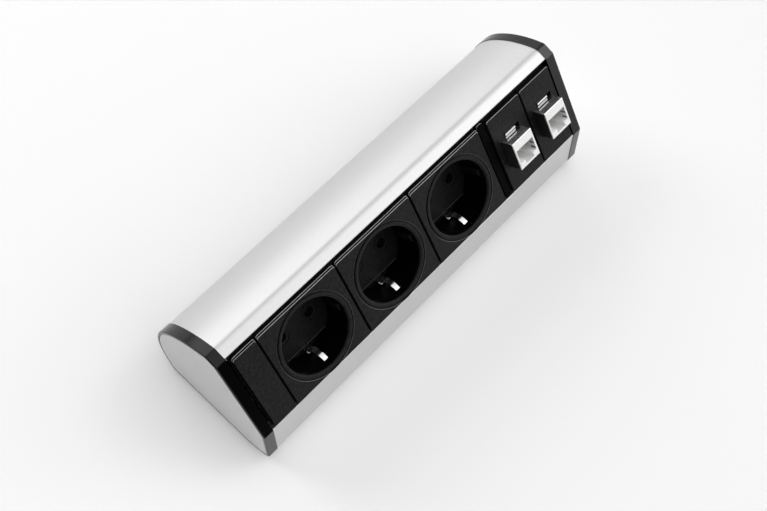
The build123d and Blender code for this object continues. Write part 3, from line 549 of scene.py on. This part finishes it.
def earth_spring(number, x):
    """Earth clip of a well: two sprung arms with flared tips, a shoulder at each root and a bridge behind."""
    shells = []
    for side in (-1, 1):
        arm = [(well_centre + side * s, n) for s, n in clip_arm]
        shoulder = [(well_centre + side * s, n) for s, n in clip_shoulder]
        shells += [strip(arm, clip_widths, clip_thickness, x),
                   strip(shoulder, shoulder_widths, shoulder_thickness, x)]
    bridge = [(well_centre + offset, bridge_n) for offset in (-bridge_half, 0, bridge_half)]
    shells.append(strip(bridge, (bridge_width,) * 3, clip_thickness, x))
    piece(f"earth_spring_{number}", shells, ("spring_strip", (finishes["spring_strip"],)),
          (f"earth_clip_{number}",))


# Shutter springs

spring_start, spring_step, spring_halves, spring_points = 3.75, 0.31, 4, 24
spring_inner, spring_outer = 2.6, 6.1
spring_low, spring_high = -26.9, -24.9
spring_thickness = 0.25


def shutter_spring(number, x):
    """Flat spiral spring: half circles about two centres in turn, each a step wider, with a tab at each end.

    In the real spring the inner tab turns with the shutter and the outer one stays in the housing; here it is
    one fixed piece.
    """
    t = np.linspace(0, spring_halves, spring_points * spring_halves + 1)
    half = np.minimum(t.astype(int), spring_halves - 1)
    corners = []
    for offset, n in ((-0.5, spring_low), (0.5, spring_low), (0.5, spring_high), (-0.5, spring_high)):
        radius = spring_start + half * spring_step + offset * spring_thickness
        corners.append(np.column_stack([x + spring_step * (half % 2) + radius * np.cos(math.pi * t),
                                        well_centre + radius * np.sin(math.pi * t), np.full_like(t, n)]))
    shells = [shell(list(np.stack(corners, axis=1)))]
    end = spring_start + spring_halves * spring_step
    tab_span = (well_centre - spring_thickness / 2, well_centre + spring_thickness / 2)
    for inner, outer in ((spring_inner, spring_start), (end, spring_outer)):
        tab = rectangle((x + inner, x + outer), tab_span, corner=0.05)
        shells.append(shell([level(tab, spring_low), level(tab, spring_high)]))
    middle = (spring_low + spring_high) / 2
    start, stop = on_face([(x + spring_start, well_centre, middle), (x + end, well_centre, middle)])
    piece(f"spiral_spring_{number}", shells, ("steel", (finishes["steel"],)), (f"shutter_spring_{number}",),
          across=(f"shutter_{number}", "housing", tuple(start), tuple(stop)))


# Data modules

port_outline = np.array([[-6.2, 17.3], [-3.0, 17.3], [-3.0, 14.8], [3.2, 14.8], [3.2, 17.3], [6.2, 17.3],
                         [6.2, 24.9], [-6.2, 24.9]])
holder_opening = np.array([[-7.5, 13.35], [7.5, 13.35], [7.5, 30.25], [7.3, 30.25], [7.3, 32.9], [-4.1, 32.9],
                           [-4.1, 30.25], [-7.5, 30.25]])
holder_round, wall_spread, wall_front, wall_rear = 0.25, 1.12, -4.0, -12.0
jack_half, jack_low, jack_high = 7.4, 13.45, 30.15
jack_seat, jack_front_n, jack_rear_n = 20.5, 7.7, -22.0
jack_corner, jack_round = 0.4, 0.3
lip_spread, lip_n, port_depth_n = 1.025, 7.5, -6.0
lower_port_line, side_line = 17.4, 30.0
contact_rows = (24.3, 21.1, 18.0)
contact_side, contact_half, contact_corner = (6.0, 6.4), 0.32, 0.1
contact_low, contact_high = 4.2, 7.2
prong_half, prong_rear_n, fold_n = 3.8, -14.0, -13.2
lower_prong, lower_prong_n = (30.25, 30.85), 0.35
upper_prong, upper_prong_n = (31.75, 32.85), 0.9
slit, tip_n, tongue_bevel = (30.8, 31.8), 0.3, 0.12


def data_module(number, x, middle, half):
    """Data module front: a plate with the opening for the jack and its latch."""
    centre = np.array([x, jack_middle])
    opening = holder_opening + (x, 0.0)
    outer = rectangle((middle - half, middle + half), (0.0, plate_top), plate_corner)
    angles = bearings(centre, outer, opening, count=64)
    loops = plate_loops(middle, half, (0.0, plate_top), 0.0, holder_round, centre, angles, flange_face)
    hole = cast(opening, centre, angles)
    loops += [level(hole, 0.0), level(hole, flange_face)]
    # The plate's top edge gets the painted highlight
    plate = shell(loops, hoop=True, pick=top_edge_highlight)
    flange = opened_flange(middle - flange_reach / 2, half + flange_reach / 2, centre, angles, hole)
    away = centre + (hole - centre) * wall_spread
    frame_wall = shell([level(away, wall_rear), level(away, wall_front),
                        level(hole, wall_front), level(hole, wall_rear)], hoop=True)
    piece(f"data_module_{number}", [plate, flange, frame_wall],
          ("module_black", (finishes["module_black"], edge_highlight_paint)), (f"data_holder_{number}",))


def jack_rule(row, centre):
    """The black sides of a jack and its metal top, with painted sheen in white on its front, the lip of its
    port and the port's lower walls.
    """
    lower_port = (row == edge_loops + 1) & (centre[:, 1] < lower_port_line)
    front = among(row, edge_loops - 1, edge_loops) | lower_port
    side = (row == 0) & (centre[:, 1] < side_line)
    return np.where(front, sheen_paint, np.where(side, black_and_shade, sheet_metal))


def slot_shade_rule(row, centre):
    """Painted shade: a slot in the port is a black box, black all over."""
    return np.full(len(row), black_and_shade)


def tongue_rule(row, centre):
    """Painted sheen in white on the front ends of a jack's latch, and painted shade in black in the slit
    between its two prongs.
    """
    # Painted shade: the faces inside the slit between the prongs are black
    inside = (centre[:, 1] > slit[0]) & (centre[:, 1] < slit[1]) & (centre[:, 2] < tip_n)
    return np.where(inside, black_and_shade, np.where(centre[:, 2] > tip_n, sheen_paint, sheet_metal))


def data_jack(number, x):
    """Jack: a metal box with rounded front edges, whose front turns in at the port and lines its walls."""
    centre = np.array([x, jack_seat])
    port = port_outline + (x, 0.0)

    def outline_at(inset):
        sides = (x - jack_half + inset, x + jack_half - inset)
        return cast(rectangle(sides, (jack_low + inset, jack_high - inset), jack_corner), centre, angles)
    box = rectangle((x - jack_half, x + jack_half), (jack_low, jack_high), jack_corner)
    angles = bearings(centre, box, port, count=48)
    port_loop = cast(port, centre, angles)
    wider = centre + (port_loop - centre) * lip_spread
    loops = rounded(outline_at, jack_rear_n, jack_front_n, jack_round)
    loops += [level(wider, jack_front_n), level(port_loop, lip_n), level(port_loop, port_depth_n)]
    shells = [shell(loops, pick=jack_rule)]
    # Painted shade: black boxes on the port's side wall stand for its slots
    for s in contact_rows:
        slot = rectangle((x + contact_side[0], x + contact_side[1]), (s - contact_half, s + contact_half),
                         contact_corner)
        shells.append(shell([level(slot, contact_low), level(slot, contact_high)], pick=slot_shade_rule))
    piece(f"data_jack_{number}", shells, ("jack_metal", jack_look),
          (f"jack_shell_{number}", f"jack_body_{number}"))


def jack_tongue(number, x):
    """Latch over a jack: a sheet folded into two prongs, joined at the back, carried along X."""
    profile = np.array([[lower_prong[0], prong_rear_n], [lower_prong[0], lower_prong_n],
                        [lower_prong[1], lower_prong_n], [lower_prong[1], fold_n],
                        [upper_prong[0], fold_n], [upper_prong[0], upper_prong_n],
                        [upper_prong[1], upper_prong_n], [upper_prong[1], prong_rear_n]])
    loops = [np.column_stack([np.full(len(profile), x + side * prong_half), profile]) for side in (-1, 1)]
    piece(f"jack_tongue_{number}", [shell(loops, pick=tongue_rule)], ("jack_metal", jack_look),
          (f"jack_latch_{number}",), bevel=tongue_bevel)


for number, place in enumerate(socket_places, 1):
    socket_module(number, place)
    earth_spring(number, place)
    shutter_spring(number, place)
filler("blank_front", "blank_module", *blank_place)
# The divider's darker finish is painted shade
filler("divider_front", "divider_strip", *divider_place, face="divider_black")
for number, (jack_x, plate_x, plate_half) in enumerate(data_places, 1):
    data_module(number, jack_x, plate_x, plate_half)
    data_jack(number, jack_x)
    jack_tongue(number, jack_x)

# Floor and light, in metres

floor_half, floor_near, floor_far = 1.2, -0.48, 1.3
backdrop_white = 0.94

# Soft panels: the way to each, the cosines at its edge and where it is full, and its strength
panels = (
    ((0, 0, 1), -2.0, -1.5, 0.03),
    ((0.42, -0.40, 1), 0.46, 0.78, 1.07),
    ((0.55, -0.19, 0.82), 0.980, 0.998, 3.2),
    ((-0.15, 0.05, 1), 0.88, 0.97, 0.24),
    ((0.20, 0.88, 0.40), 0.90, 0.985, 1.05),
    ((0.32, 0.94, 0.12), 0.85, 0.97, 0.45),
    ((0.55, 0.78, 0.36), 0.80, 0.95, 0.6),
    ((0.84, -0.54, 0.08), 0.80, 0.94, 1.3),
    ((-1.0, 0.0, 0.45), 0.55, 0.95, 0.3),
)


def studio_floor():
    """A wide pale floor that keeps the object's soft shadow."""
    corners = [(-floor_half, floor_near, 0), (floor_half, floor_near, 0),
               (floor_half, floor_far, 0), (-floor_half, floor_far, 0)]
    mesh = bpy.data.meshes.new("floor")
    mesh.from_pydata(corners, [], [(0, 1, 2, 3)])
    floor = bpy.data.objects.new("floor", mesh)
    bpy.context.scene.collection.objects.link(floor)
    material = finish("floor_white", grey(0.94), roughness=0.9, specular=0.0)[0]
    mesh.materials.append(material)


def lobe(tree_nodes, links, direction, toward, edge, full, strength):
    """Light from round one direction: the cosine to it, mapped smoothly from an edge to the full strength."""
    cosine = tree_nodes.new("ShaderNodeVectorMath")
    cosine.operation = "DOT_PRODUCT"
    cosine.inputs[1].default_value = np.array(toward) / np.linalg.norm(toward)
    links.new(direction, cosine.inputs[0])
    ranged = tree_nodes.new("ShaderNodeMapRange")
    ranged.interpolation_type = "SMOOTHSTEP"
    ranged.inputs["From Min"].default_value = edge
    ranged.inputs["From Max"].default_value = full
    ranged.inputs["To Max"].default_value = strength
    links.new(cosine.outputs["Value"], ranged.inputs["Value"])
    return ranged.outputs["Result"]


def soft_world():
    """Soft panels in a dark room: overhead, and lower down at the back, right and left.

    Their strengths are added up, and a camera ray gets the white of the backdrop instead.
    """
    world = bpy.data.worlds.new("studio")
    bpy.context.scene.world = world
    world.use_nodes = True
    n, k = world.node_tree.nodes, world.node_tree.links
    place = n.new("ShaderNodeTexCoord")
    total = lobe(n, k, place.outputs["Generated"], *panels[0])
    for panel in panels[1:]:
        add = n.new("ShaderNodeMath")
        k.new(total, add.inputs[0])
        k.new(lobe(n, k, place.outputs["Generated"], *panel), add.inputs[1])
        total = add.outputs["Value"]
    ray = n.new("ShaderNodeLightPath")
    shown = n.new("ShaderNodeMix")
    k.new(ray.outputs["Is Camera Ray"], shown.inputs["Factor"])
    k.new(total, shown.inputs["A"])
    shown.inputs["B"].default_value = backdrop_white
    k.new(shown.outputs["Result"], n["Background"].inputs["Strength"])
    n["Background"].inputs["Color"].default_value = (1, 1, 1, 1)


def softbox(name, place, target, size, power):
    """A square area lamp turned to a target."""
    data = bpy.data.lights.new(name, "AREA")
    data.shape = "RECTANGLE"
    data.size, data.size_y = size
    data.energy = power
    lamp = bpy.data.objects.new(name, data)
    bpy.context.scene.collection.objects.link(lamp)
    back = np.array(place, float) - np.array(target, float)
    back /= np.linalg.norm(back)
    side = np.cross((0, 0, 1), back)
    side /= np.linalg.norm(side)
    up = np.cross(back, side)
    lamp.matrix_world = Matrix([[side[i], up[i], back[i], place[i]] for i in range(3)] + [[0, 0, 0, 1]])


def photo_camera():
    """The camera that was fitted to the photo's edges, in the row frame."""
    data = bpy.data.cameras.new("camera")
    data.lens = 57.085
    data.sensor_width = 36.0
    data.clip_start = 0.01
    camera = bpy.data.objects.new("camera", data)
    camera.location = (-0.229072, -0.119218, 0.597944)
    camera.rotation_euler = (0.389422, -0.120666, -0.821371)
    bpy.context.scene.collection.objects.link(camera)
    bpy.context.scene.camera = camera


studio_floor()
soft_world()
softbox("key", place=(-0.75, 2.2, 1.45), target=(0, 0, 0.03), size=(1.0, 1.0), power=17.5)
photo_camera()
bpy.context.scene.view_settings.view_transform = "Standard"
